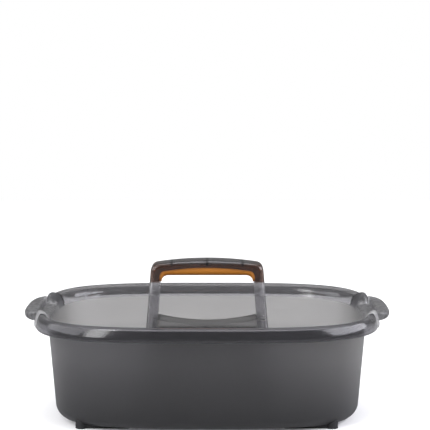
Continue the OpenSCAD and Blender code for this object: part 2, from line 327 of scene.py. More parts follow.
# Half sections of the rim in millimetres: (in from the rim's edge, down from its top)
UNDER_RIM = [(13.0, 6.2), (11.6, 3.2), (7.4, 2.5), (5.2, 4.2), (3.6, 7.4), (2.8, 11), (2.6, 14.4)]
ROLL_FACE = [(0.6, 14.4), (0.1, 13), (0, 11.6), (0.3, 9.2), (1.0, 6.4), (1.9, 3.8), (3.0, 1.4), (4.4, -0.1)]
ROLL_CREST = [(6.0, -0.5), (8.6, -0.5), (10.2, 0.1), (12.2, 2.0), (14.2, 5)]


def tub_rings():
    floor = UNDERSIDE + WALL
    to_middle = [0.8, 0.6, 0.4, 0.2, POLE]
    under = turn_rings(0, BASE_RADIUS, UNDERSIDE, 12)
    inside = turn_rings(WALL, BASE_RADIUS - WALL, floor, 12)
    wall_low, wall_high = UNDERSIDE + BASE_RADIUS, RIM_TOP - 9 * MM
    heights = [wall_low + (wall_high - wall_low) * k / 8 for k in range(1, 9)]
    under_rim = smooth_line(UNDER_RIM, 3)
    roll = smooth_line(ROLL_FACE + ROLL_CREST, 5)
    return [
        *flat_rings(under[0], reversed(to_middle)),
        *under,
        *(wall_ring(height, 0) for height in heights),
        *(rim_ring(inset * MM, depth * MM, WALL) for inset, depth in under_rim),
        *(rim_ring(inset * MM, depth * MM) for inset, depth in roll),
        *(wall_ring(height, WALL) for height in reversed(heights)),
        *reversed(inside),
        *flat_rings(inside[0], to_middle),
    ]


def end_share(tree, x):
    """1 at the two ends of the tub and 0 along its front and back."""
    past_middle = calc(tree, "SUBTRACT", calc(tree, "ABSOLUTE", x), RIM_HALF_LENGTH * 0.5)
    steep = calc(tree, "MULTIPLY", past_middle, 100.0)
    return add_node(tree, "ShaderNodeClamp", {"Value": steep}).outputs[0]


def ring_sweep_tree():
    """Turns ring sizes into a closed rounded shell, with a dip and two collars at each end."""
    tree = bpy.data.node_groups.new("ring_sweep", "GeometryNodeTree")
    group_in, group_out = make_sockets(
        tree,
        [("Rings", "Geometry"), ("Points Around", "Int"), ("Dip Depth", "Float"), ("Dip Inner", "Float"),
         ("Dip Outer", "Float"), ("Collar Middle", "Float"), ("Collar Half", "Float"),
         ("Collar Rise", "Float"), ("Material", "Material")],
        [("Geometry", "Geometry")],
    )
    rings = group_in.outputs["Rings"]
    ring_count = add_node(tree, "GeometryNodeAttributeDomainSize", {0: rings}, component="MESH").outputs[0]
    grid = add_node(
        tree,
        "GeometryNodeMeshGrid",
        {"Size X": 1.0, "Size Y": 1.0, "Vertices Y": ring_count,
         "Vertices X": calc(tree, "ADD", group_in.outputs["Points Around"], 1.0)},
    )
    position = tree.nodes.new("GeometryNodeInputPosition").outputs[0]
    across = add_node(tree, "ShaderNodeSeparateXYZ", {0: position})
    turn = calc(tree, "MULTIPLY", calc(tree, "ADD", across.outputs["X"], 0.5), 2 * math.pi)
    last_ring = calc(tree, "SUBTRACT", ring_count, 1.0)
    along = calc(tree, "ADD", across.outputs["Y"], 0.5)
    ring_index = calc(tree, "ROUND", calc(tree, "MULTIPLY", along, last_ring))

    def ring_value(name):
        field = add_node(tree, "GeometryNodeInputNamedAttribute", {"Name": name}, data_type="FLOAT")
        sample = add_node(
            tree,
            "GeometryNodeSampleIndex",
            {"Geometry": rings, "Value": field.outputs[0], "Index": ring_index},
            data_type="FLOAT",
            domain="POINT",
        )
        return sample.outputs[0]

    half_length, half_depth, height, squareness, sink, at_rim = (ring_value(name) for name in Ring._fields)
    cosine, sine = calc(tree, "COSINE", turn), calc(tree, "SINE", turn)

    def share(part, half):
        return calc(tree, "POWER", calc(tree, "DIVIDE", calc(tree, "ABSOLUTE", part), half), squareness)

    radius = calc(
        tree,
        "POWER",
        calc(tree, "ADD", share(cosine, half_length), share(sine, half_depth)),
        calc(tree, "DIVIDE", -1.0, squareness),
    )
    x = calc(tree, "MULTIPLY", radius, cosine)
    y = calc(tree, "MULTIPLY", radius, sine)
    past_inner = calc(tree, "SUBTRACT", calc(tree, "ABSOLUTE", y), group_in.outputs["Dip Inner"])
    knee = calc(tree, "SUBTRACT", group_in.outputs["Dip Outer"], group_in.outputs["Dip Inner"])
    knee_share = calc(tree, "DIVIDE", past_inner, knee)
    knee_share = add_node(tree, "ShaderNodeClamp", {"Value": knee_share}).outputs[0]
    wave = calc(tree, "COSINE", calc(tree, "MULTIPLY", knee_share, math.pi))
    dip = calc(tree, "MULTIPLY", calc(tree, "MULTIPLY_ADD", wave, 0.5, 0.5), group_in.outputs["Dip Depth"])
    off_collar = calc(tree, "SUBTRACT", calc(tree, "ABSOLUTE", y), group_in.outputs["Collar Middle"])
    off_collar = calc(tree, "DIVIDE", calc(tree, "ABSOLUTE", off_collar), group_in.outputs["Collar Half"])
    swell = calc(tree, "SUBTRACT", 1.0, calc(tree, "POWER", calc(tree, "MINIMUM", off_collar, 1.0), 3.0))
    swell = calc(tree, "MULTIPLY", swell, calc(tree, "MULTIPLY", group_in.outputs["Collar Rise"], at_rim))
    swell = calc(tree, "MULTIPLY", swell, end_share(tree, x))
    rise = calc(tree, "SUBTRACT", swell, calc(tree, "MULTIPLY", dip, end_share(tree, x)))
    z = calc(tree, "MULTIPLY_ADD", rise, sink, height)
    wide_x = calc(tree, "MULTIPLY_ADD", calc(tree, "SIGN", x), calc(tree, "MULTIPLY", swell, 0.5), x)
    place = add_node(tree, "ShaderNodeCombineXYZ", {0: wide_x, 1: y, 2: z}).outputs[0]
    shell = add_node(tree, "GeometryNodeSetPosition", {"Geometry": grid.outputs["Mesh"], "Position": place})
    closed = add_node(tree, "GeometryNodeMergeByDistance", {"Geometry": shell.outputs[0], "Distance": 1e-5})
    end_tree(tree, group_in, group_out, closed.outputs[0])
    return tree


def make_tub_shell(material):
    rings = tub_rings()
    guide = bpy.data.meshes.new("tub_rings")
    guide.from_pydata([(0, 0, ring.height) for ring in rings], [], [])
    for name in Ring._fields:
        values = guide.attributes.new(name, "FLOAT", "POINT").data
        for value, ring in zip(values, rings):
            value.value = getattr(ring, name)
    shell = new_object("tub_shell", guide)
    modifier = shell.modifiers.new("sweep", "NODES")
    modifier.node_group = ring_sweep_tree()
    set_inputs(
        modifier,
        {
            "Points Around": POINTS_AROUND,
            "Dip Depth": THUMB_DIP,
            "Dip Inner": KNEE_INNER,
            "Dip Outer": KNEE_OUTER,
            "Collar Middle": COLLAR_MIDDLE,
            "Collar Half": COLLAR_HALF,
            "Collar Rise": COLLAR_RISE,
            "Material": material,
        },
    )
    apply_modifiers(shell)
    face_outwards(shell.data)
    return shell


# =====================================================================================
# End grips
# =====================================================================================
def rim_edge_x(y):
    return RIM_HALF_LENGTH * (1 - (abs(y) / RIM_HALF_DEPTH) ** RIM_SQUARENESS) ** (1 / RIM_SQUARENESS)


def grip_width(y):
    return GRIP_REACH * max(0.0, 1 - (abs(y) / GRIP_HALF) ** GRIP_ROUNDNESS) ** (1 / GRIP_ROUNDNESS)


def grip_section(y, shrink):
    """One slice of a grip, or of the hollow inside it when shrink is the skin's thickness."""
    middle = RIM_TOP - GRIP_THICKNESS / 2
    inner = rim_edge_x(y) - GRIP_ROOT + shrink * 0.8
    outer = rim_edge_x(y) + max(0.4 * MM, grip_width(y)) - shrink
    radius = GRIP_THICKNESS / 2 - shrink
    across = min(radius, max(0.3 * MM, (outer - inner) * 0.6))
    lip = min(2 * MM, max(0.2 * MM, (outer - inner) * 0.3))
    first = 0 if shrink else -90
    edge = [
        (outer - across + across * math.cos(math.radians(a)), y, middle + radius * math.sin(math.radians(a)))
        for a in range(first, 91, 10)
    ]
    turn = [math.radians(a) for a in range(100, 181, 10)]
    root = [(inner + lip + lip * math.cos(a), y, middle + radius - lip + lip * math.sin(a)) for a in turn]
    if not shrink:
        return [*edge, *root, (inner, y, middle - radius)]
    low = middle - GRIP_THICKNESS
    return [*edge, *root, (inner, y, low), (outer - min(1.4 * MM, across / 2), y, low)]


def grip_sections(shrink, reach, count):
    return [grip_section(-reach * math.cos(math.pi * k / count), shrink) for k in range(count + 1)]


def turned(sections, side):
    return [[(x * side, y, z) for x, y, z in section] for section in sections]


def rib_row_tree():
    """Sets a rib on every guide point, as large as that point's rib_size."""
    tree = bpy.data.node_groups.new("rib_row", "GeometryNodeTree")
    group_in, group_out = make_sockets(
        tree, [("Guide", "Geometry"), ("Material", "Material")], [("Geometry", "Geometry")]
    )
    rib = add_node(tree, "GeometryNodeMeshCube", {"Size": (1.0, 1.0, 1.0)})
    size = add_node(tree, "GeometryNodeInputNamedAttribute", {"Name": "rib_size"}, data_type="FLOAT_VECTOR")
    points = add_node(tree, "GeometryNodeMeshToPoints", {"Mesh": group_in.outputs["Guide"]})
    ribs = add_node(
        tree,
        "GeometryNodeInstanceOnPoints",
        {"Points": points.outputs[0], "Instance": rib.outputs[0], "Scale": size.outputs[0]},
    )
    end_tree(tree, group_in, group_out, ribs.outputs[0])
    return tree


def make_ribs(name, boxes, tree, material):
    """One closed mesh of upright ribs, from (low corner, high corner) pairs."""
    guide = bpy.data.meshes.new(name)
    guide.from_pydata([(Vector(low) + Vector(high)) / 2 for low, high in boxes], [], [])
    sizes = guide.attributes.new("rib_size", "FLOAT_VECTOR", "POINT").data
    for size, (low, high) in zip(sizes, boxes):
        size.vector = Vector(high) - Vector(low)
    ribs = new_object(name, guide)
    modifier = ribs.modifiers.new("ribs", "NODES")
    modifier.node_group = tree
    set_inputs(modifier, {"Material": material})
    apply_modifiers(ribs)
    face_outwards(ribs.data)
    return ribs


def end_rib_boxes(low, high, near, far_at):
    """Ribs across both ends of the tub, each from near to far_at(y)."""
    half = GRIP_RIB_WIDTH / 2
    boxes = []
    for k in range(-GRIP_RIBS_EACH_WAY, GRIP_RIBS_EACH_WAY + 1):
        y = k * GRIP_RIB_PITCH
        for side in (-1, 1):
            ends = sorted((side * near, side * far_at(y)))
            boxes.append(((ends[0], y - half, low), (ends[1], y + half, high)))
    return boxes


def grip_rib_boxes():
    low, high = RIM_TOP - GRIP_THICKNESS + 0.5 * MM, RIM_TOP - WALL + 0.3 * MM
    near = RIM_HALF_LENGTH - WALL / 2
    return end_rib_boxes(low, high, near, lambda y: rim_edge_x(y) + grip_width(y) - WALL)


def flange_rib_boxes():
    low, high = RIM_TOP - RIM_DROP + 2 * MM, RIM_TOP - THUMB_DIP - 1.4 * MM
    near, far = RIM_HALF_LENGTH - RIM_WIDTH - 0.5 * MM, RIM_HALF_LENGTH - WALL / 2
    return end_rib_boxes(low, high, near, lambda y: far)


# =====================================================================================
# Centre post, and the lines of the handle's legs that it follows
# =====================================================================================
def leg_outer_x(height):
    return HALF_SPAN + (LEG_REFERENCE_Z - height) * LEG_SLOPE


def leg_inner_x(height):
    return leg_outer_x(height) - LEG_THICKNESS / math.cos(LEG_LEAN)


def rounded_slab(half_x, half_y, height, radius, steps=10):
    """A level rounded oblong."""
    outline = []
    for side_x, side_y, start in ((1, 1, 0), (-1, 1, 90), (-1, -1, 180), (1, -1, 270)):
        for k in range(steps + 1):
            angle = math.radians(start + 90 * k / steps)
            x = side_x * (half_x - radius) + radius * math.cos(angle)
            y = side_y * (half_y - radius) + radius * math.sin(angle)
            outline.append((x, y, height))
    return outline


def post_lower(inset, low, high, foot_flare):
    """The post's spreading lower part, or the hollow inside it when inset is the wall's thickness."""
    base_x, base_y = leg_outer_x(SHOULDER_Z) + 8 * MM - inset, HALF_POST_DEPTH + 7 * MM - inset
    top_x, top_y = leg_outer_x(SHOULDER_Z) + 1.2 * MM - inset, HALF_POST_DEPTH + 1.6 * MM - inset
    radius = 5 * MM - inset
    sections = []
    for k in range(17):
        share = (k / 16) ** 1.6
        height = low + (high - low) * share
        flare = foot_flare * max(0.0, 1 - (height - low) / (2 * foot_flare)) ** 2 if foot_flare else 0.0
        half_x, half_y = base_x + (top_x - base_x) * share, base_y + (top_y - base_y) * share
        sections.append(rounded_slab(half_x + flare, half_y + flare, height, radius + flare))
    return sections


def post_upper(inset, low, high):
    """The post between the handle's legs, or the hollow inside it."""
    radius = 1.2 * MM + inset / 4
    sections = []
    for z in (low, (low + high) / 2, high):
        half_y = HALF_POST_DEPTH - inset + 1.2 * MM * (high - z) / (high - low)
        sections.append(rounded_slab(leg_inner_x(z) - 0.3 * MM - inset, half_y, z, radius))
    return sections


def make_post():
    post = loft("post", post_lower(0, UNDERSIDE + WALL - 1 * MM, SHOULDER_Z, 4 * MM))
    combine(post, loft("post_top", post_upper(0, SHOULDER_Z - 1 * MM, SADDLE_TOP)), "UNION")
    tongue_y = HALF_HANDLE_DEPTH - SHELL - FIT_GAP
    tongue_ends = [
        rounded_slab(leg_inner_x(z) + 5 * MM, tongue_y, z, 1.5 * MM) for z in (SHOULDER_Z - MM, TONGUE_TOP)
    ]
    combine(post, loft("tongues", tongue_ends), "UNION")
    half = leg_inner_x(SADDLE_TOP)
    radius = (half**2 + SADDLE_RISE**2) / (2 * SADDLE_RISE)
    curve = [
        (x, SADDLE_Z + radius - math.sqrt(radius**2 - x**2)) for x in (half * (k / 24 - 1) for k in range(49))
    ]
    profile = [*curve, (half, TONGUE_TOP + 20 * MM), (-half, TONGUE_TOP + 20 * MM)]
    saddle = loft("saddle", [[(x, y, z) for x, z in profile] for y in (-RIM_HALF_DEPTH, RIM_HALF_DEPTH)])
    combine(post, saddle, "DIFFERENCE")
    return post


def make_post_cavity():
    cavity = loft("cavity", post_lower(WALL, UNDERSIDE - 2 * MM, SHOULDER_Z - WALL, 0))
    upper = post_upper(WALL, SHOULDER_Z - WALL - 1 * MM, SADDLE_Z - WALL)
    combine(cavity, loft("cavity_top", upper), "UNION")
    return cavity


def make_tub(material, rib_tree):
    tub = make_tub_shell(material)
    for side in (-1, 1):
        combine(tub, loft("grip", turned(grip_sections(0, GRIP_HALF - 0.2 * MM, 60), side)), "UNION")
    for side in (-1, 1):
        hollow = turned(grip_sections(WALL, GRIP_HALF - 9 * MM, 60), side)
        combine(tub, loft("grip_hollow", hollow), "DIFFERENCE")
    combine(tub, make_ribs("grip_ribs", grip_rib_boxes(), rib_tree, material), "UNION")
    combine(tub, make_ribs("flange_ribs", flange_rib_boxes(), rib_tree, material), "UNION")
    combine(tub, make_post(), "UNION")
    combine(tub, make_post_cavity(), "DIFFERENCE")
    tub.name = "smoke_tub"
    smooth(tub, 38)
    return tub


# =====================================================================================
# Handle: an inverted channel between an outer and an inner line
# =====================================================================================
CORNER_X = HALF_SPAN - CORNER_RADIUS * math.cos(LEG_LEAN)
BAR_TILT = math.asin(CORNER_X / (BAR_RADIUS - CORNER_RADIUS))
CORNER_Z = HANDLE_TOP - BAR_RADIUS + (BAR_RADIUS - CORNER_RADIUS) * math.cos(BAR_TILT)
LEG_TOP_Z = CORNER_Z + CORNER_RADIUS * math.sin(LEG_LEAN)


def underside_at(x):
    return UNDERSIDE_Z - UNDERSIDE_RADIUS + math.sqrt(UNDERSIDE_RADIUS**2 - x**2)


def bar_top_at(x):
    return HANDLE_TOP - BAR_RADIUS + math.sqrt(BAR_RADIUS**2 - x**2)


INNER_LEG_TOP_Z = underside_at(UNDERSIDE_HALF) - 6 * MM
LEG_STEPS, CORNER_STEPS, BAR_STEPS = 6, 20, 30


def leg_line_x(height):
    return CORNER_X + CORNER_RADIUS * math.cos(LEG_LEAN) + (LEG_TOP_Z - height) * LEG_SLOPE


def leg_heights():
    return [SHOULDER_Z + (INNER_LEG_TOP_Z - SHOULDER_Z) * k / LEG_STEPS for k in range(LEG_STEPS + 1)]


def outer_line():
    line = [(leg_line_x(z), z) for z in leg_heights()]
    for k in range(CORNER_STEPS + 1):
        angle = LEG_LEAN + (math.pi / 2 - BAR_TILT - LEG_LEAN) * k / CORNER_STEPS
        line.append((CORNER_X + CORNER_RADIUS * math.cos(angle), CORNER_Z + CORNER_RADIUS * math.sin(angle)))
    for k in range(1, BAR_STEPS + 1):
        x = BAR_RADIUS * math.sin(BAR_TILT * (1 - k / BAR_STEPS))
        line.append((x, bar_top_at(x)))
    return line


def inner_line():
    def leg_x(z):
        return leg_line_x(z) - LEG_THICKNESS / math.cos(LEG_LEAN)

    heights = leg_heights()
    start = Vector((leg_x(heights[-1]) + LEG_NARROWING, heights[-1]))
    end = Vector((UNDERSIDE_HALF, underside_at(UNDERSIDE_HALF)))
    knee = Vector((start.x - 0.6 * MM, end.y - 1.2 * MM))
    line = [(leg_x(z), z) for z in heights[:-1]]
    for k in range(CORNER_STEPS + 2):
        s = k / (CORNER_STEPS + 1)
        line.append(tuple(start * (1 - s) ** 2 + knee * 2 * s * (1 - s) + end * s**2))
    for k in range(1, BAR_STEPS + 1):
        x = UNDERSIDE_HALF * (1 - k / BAR_STEPS)
        line.append((x, underside_at(x)))
    return line


def skin(half_depth, top, radius, reach):
    """One skin of the channel's section, as (distance from the outer line, y)."""
    arc = [math.radians(a) for a in range(0, 91, 9)]
    front = [(top + radius - radius * math.sin(a), -half_depth + radius - radius * math.cos(a)) for a in arc]
    back = [(distance, -y) for distance, y in reversed(front)]
    return [(reach, -half_depth), *front, *back, (reach, half_depth)]


def channel_sections():
    sections = []
    for outer, inner in zip(mirrored(outer_line()), mirrored(inner_line())):
        start, across = Vector(outer), Vector(inner) - Vector(outer)
        reach = across.length
        outside = skin(HALF_HANDLE_DEPTH, 0, EDGE_RADIUS, reach)
        inside = skin(HALF_HANDLE_DEPTH - SHELL, SHELL, EDGE_RADIUS - 1.8 * MM, reach)
        sections.append(
            [
                (start.x + across.x * distance / reach, y, start.y + across.y * distance / reach)
                for distance, y in [*outside, *reversed(inside)]
            ]
        )
    return sections


def insert_top_at(x):
    return UNDERSIDE_Z + 2.2 * MM - x * x / (2 * INSERT_TOP_RADIUS)


def handle_rib_boxes():
    """Ribs in the hollow of the bar, wide and narrow in turn, and two in each leg."""
    boxes = []
    half_depth = HALF_HANDLE_DEPTH - SHELL + 0.2 * MM
    for k in range(-2, 3):
        x = k * BAR_RIB_PITCH
        half = WIDE_RIB_HALF if k % 2 == 0 else NARROW_RIB_HALF
        low, high = insert_top_at(x) + 0.4 * MM, bar_top_at(x) - SHELL + 0.2 * MM
        boxes.append(((x - half, -half_depth, low), (x + half, half_depth, high)))
    for side in (-1, 1):
        for k in (1, 2):
            z = TONGUE_TOP + LEG_RIB_PITCH * k
            near = leg_line_x(z) - LEG_THICKNESS / math.cos(LEG_LEAN) + LEG_THICKNESS - SHELL - 3 * MM
            ends = sorted((side * near, side * (near + 3.4 * MM)))
            low, high = z - WIDE_RIB_HALF, z + WIDE_RIB_HALF
            boxes.append(((ends[0], -half_depth, low), (ends[1], half_depth, high)))
    return boxes


def make_handle(material, rib_tree):
    handle = loft("smoke_handle", channel_sections())
    combine(handle, make_ribs("handle_ribs", handle_rib_boxes(), rib_tree, material), "UNION")
    smooth(handle, 34)
    return handle


# =====================================================================================
# Orange insert
# =====================================================================================
def belly_low(x):
    share = clamped((abs(x) - BELLY_HALF) / BELLY_TURN)
    return BELLY_Z - (BELLY_Z - INSERT_END_Z) * (1 - math.sqrt(1 - share * share))


def insert_edge(x):
    if abs(x) < UNDERSIDE_HALF:
        return max(underside_at(x), belly_low(x) + 0.4 * MM)
    return min(underside_at(UNDERSIDE_HALF), belly_low(x) + 6 * MM)


def insert_section(x):
    low, edge, top = belly_low(x), insert_edge(x), insert_top_at(x)
    half, corner = INSERT_HALF_DEPTH, 0.8 * MM
    belly = []
    for a in range(0, 181, 6):
        cosine, sine = math.cos(math.radians(a)), math.sin(math.radians(a))
        y = half * math.copysign(abs(cosine) ** INSERT_ROUNDNESS, cosine)
        belly.append((x, y, edge - (edge - low) * max(0.0, sine) ** INSERT_ROUNDNESS))
    front = [(x, half - corner, top), (x, half, top - corner)]
    return [*front, *belly, (x, -half, top - corner), (x, -half + corner, top)]


def make_insert():
    end = INSERT_HIGH.x
    stations = [BELLY_HALF * k / 40 for k in range(41)]
    stations += [BELLY_HALF + BELLY_TURN * math.sin(math.pi / 2 * k / 16) for k in range(1, 17)]
    turn_end = BELLY_HALF + BELLY_TURN
    stations += [turn_end + (end - turn_end) * k / 4 for k in range(1, 5)]
    stations = [-x for x in reversed(stations[1:])] + stations
    insert = loft("orange_insert", [insert_section(x) for x in stations])
    smooth(insert, 40)
    return insert


# =====================================================================================
# Materials
# =====================================================================================
CREST_REACH = 9 * MM
LINE_SLANT = 1.6
PLASTIC_IOR = 1.49
PLASTIC_CLEARNESS = 0.93
# Pairs of colours that a slow cloud or a mottle mixes
# Front and back tones of the walls and rim roll: the darker front is painted shade, the lighter back painted
# light.
FRONT_WALL_SHADED = (0.205, 0.202, 0.215), (0.235, 0.232, 0.245)
BACK_WALL_LIT = (0.315, 0.31, 0.31), (0.35, 0.345, 0.34)
LOW_WALL = (0.115, 0.115, 0.125), (0.14, 0.14, 0.15)
FRONT_ROLL_SHADED = (0.13, 0.128, 0.142), (0.165, 0.162, 0.175)
BACK_ROLL_LIT = (0.24, 0.237, 0.245), (0.28, 0.277, 0.285)
GRIP_LOBES = (0.18, 0.18, 0.19), (0.44, 0.435, 0.44)
# Near collars: a painted highlight where light falls on them.
NEAR_COLLARS_LIT = (0.62, 0.615, 0.63), (0.74, 0.735, 0.74)
HANDLE_LEGS = (0.54, 0.535, 0.555), (0.60, 0.595, 0.61)
# Painted brown standing in for the orange insert seen through the handle's shell.
OVER_INSERT = (0.17, 0.105, 0.085), (0.21, 0.13, 0.105)
BAR_TOP = (0.19, 0.188, 0.205), (0.23, 0.228, 0.24)
ORANGE_SKIN = (0.42, 0.142, 0.011), (0.47, 0.180, 0.021)
CLEAN_RUBBER, SCUFFED_RUBBER = (0.012, 0.012, 0.014), (0.07, 0.07, 0.072)
PALE_FLOOR = (0.90, 0.90, 0.90), (0.93, 0.93, 0.93)
# Single colours with alpha
# Far collars: painted shade.
FAR_COLLARS_SHADED = (0.15, 0.148, 0.16, 1)
# Painted shade of a groove round each collar.
COLLAR_LINE_SHADE = (0.012, 0.012, 0.014, 1)
RIB_SHADE = (0.02, 0.018, 0.02, 1)


def ramp(tree, value, low, high, top=1.0):
    """0 at low, rising evenly to top at high."""
    return add_node(
        tree, "ShaderNodeMapRange", {"Value": value, "From Min": low, "From Max": high, "To Max": top}
    ).outputs[0]


def object_place(tree):
    """X, Y and Z of the point in the object's own coordinates."""
    place = tree.nodes.new("ShaderNodeTexCoord").outputs["Object"]
    return add_node(tree, "ShaderNodeSeparateXYZ", {0: place}).outputs


def height_mask(tree, low, high):
    """0 below low, 1 above high."""
    return ramp(tree, object_place(tree)["Z"], low, high)


def blend(tree, share, first, second):
    mix = add_node(tree, "ShaderNodeMix", {"Factor": share, 6: first, 7: second}, data_type="RGBA")
    return mix.outputs[2]


def blend_colours(tree, share, first, second):
    return blend(tree, share, (*first, 1), (*second, 1))


def blend_values(tree, share, first, second):
    mix = add_node(tree, "ShaderNodeMix", {"Factor": share, 2: first, 3: second}, data_type="FLOAT")
    return mix.outputs[0]


def moulded_grain_group():
    """Fine texture of a mould: height for bump, and a slow cloud for colour and gloss."""
    tree = bpy.data.node_groups.new("moulded_grain", "ShaderNodeTree")
    group_in, group_out = make_sockets(
        tree,
        [("Grain Scale", "Float"), ("Cloud Scale", "Float")],
        [("Height", "Float"), ("Cloud", "Float")],
    )
    place = tree.nodes.new("ShaderNodeTexCoord").outputs["Object"]
    fine = add_node(
        tree,
        "ShaderNodeTexNoise",
        {"Vector": place, "Scale": group_in.outputs["Grain Scale"], "Detail": 3.0, "Roughness": 0.6},
    )
    pits = add_node(
        tree,
        "ShaderNodeTexVoronoi",
        {"Vector": place, "Scale": calc(tree, "MULTIPLY", group_in.outputs["Grain Scale"], 0.6)},
        feature="SMOOTH_F1",
    )
    height = calc(tree, "MULTIPLY_ADD", pits.outputs["Distance"], 0.5, fine.outputs[0])
    cloud = add_node(
        tree,
        "ShaderNodeTexNoise",
        {"Vector": place, "Scale": group_in.outputs["Cloud Scale"], "Detail": 2.0, "Roughness": 0.5},
    )
    tree.links.new(height, group_out.inputs["Height"])
    tree.links.new(cloud.outputs[0], group_out.inputs["Cloud"])
    return tree


def handling_wear_group():
    """Hair scratches and rubbed patches: a mask that is 1 where the surface has been handled."""
    tree = bpy.data.node_groups.new("handling_wear", "ShaderNodeTree")
    group_in, group_out = make_sockets(
        tree, [("Scale", "Float"), ("Amount", "Float")], [("Scratches", "Float"), ("Rubbed", "Float")]
    )
    place = tree.nodes.new("ShaderNodeTexCoord").outputs["Object"]
    size, amount = group_in.outputs["Scale"], group_in.outputs["Amount"]
    scratches = None
    for turn in (0.5, 1.9):
        stretched = add_node(
            tree,
            "ShaderNodeMapping",
            {"Vector": place, "Rotation": (0.2, 0.3, turn), "Scale": (0.04, 1.0, 0.3)},
        )
        lines = add_node(
            tree,
            "ShaderNodeTexNoise",
            {"Vector": stretched.outputs[0], "Scale": size, "Detail": 2.0, "Roughness": 0.7},
        )
        thin = ramp(tree, lines.outputs[0], 0.68, 0.74)
        scratches = thin if scratches is None else calc(tree, "MAXIMUM", scratches, thin)
    patches = add_node(
        tree,
        "ShaderNodeTexNoise",
        {"Vector": place, "Scale": calc(tree, "MULTIPLY", size, 0.06), "Detail": 3.0},
    )
    rubbed = ramp(tree, patches.outputs[0], 0.5, 0.75)
    tree.links.new(calc(tree, "MULTIPLY", scratches, amount), group_out.inputs["Scratches"])
    tree.links.new(calc(tree, "MULTIPLY", rubbed, amount), group_out.inputs["Rubbed"])
    return tree


def new_material(name):
    material = bpy.data.materials.new(name)
    material.use_nodes = True
    tree = material.node_tree
    shader = tree.nodes["Principled BSDF"]
    return material, tree, shader


def use_group(tree, group, **values):
    inputs = {name.replace("_", " ").title(): value for name, value in values.items()}
    return add_node(tree, "ShaderNodeGroup", inputs, node_tree=group)


def add_bump(tree, shader, height, strength, distance):
    bump = add_node(tree, "ShaderNodeBump", {"Height": height, "Strength": strength, "Distance": distance})
    tree.links.new(bump.outputs[0], shader.inputs["Normal"])


def end_masks(tree):
    """Three masks: over the grips and collars, from the knees outwards, and on the line of painted shade
    round each collar that stands in for a groove. They slant outwards past the rim's crest."""
    place = object_place(tree)
    far_x = calc(tree, "ABSOLUTE", place["X"])
    past_crest = calc(tree, "MAXIMUM", calc(tree, "SUBTRACT", far_x, RIM_HALF_LENGTH - CREST_REACH), 0.0)
    far_y = calc(tree, "MULTIPLY_ADD", past_crest, -LINE_SLANT, calc(tree, "ABSOLUTE", place["Y"]))
    start, end = COLLAR_MIDDLE - COLLAR_HALF, COLLAR_MIDDLE + COLLAR_HALF
    at_end = ramp(tree, far_x, RIM_HALF_LENGTH - 2 * RIM_WIDTH, RIM_HALF_LENGTH - 1.5 * RIM_WIDTH)
    grip = calc(tree, "MULTIPLY", ramp(tree, far_y, end, end - 1 * MM), at_end)
    off_line = calc(tree, "ABSOLUTE", calc(tree, "SUBTRACT", far_y, end))
    # Mask for the line of painted shade round each collar, standing in for a groove.
    line = calc(tree, "MULTIPLY", ramp(tree, off_line, 2.2 * MM, 1.0 * MM), at_end)
    return grip, ramp(tree, far_y, start - 1 * MM, start), line


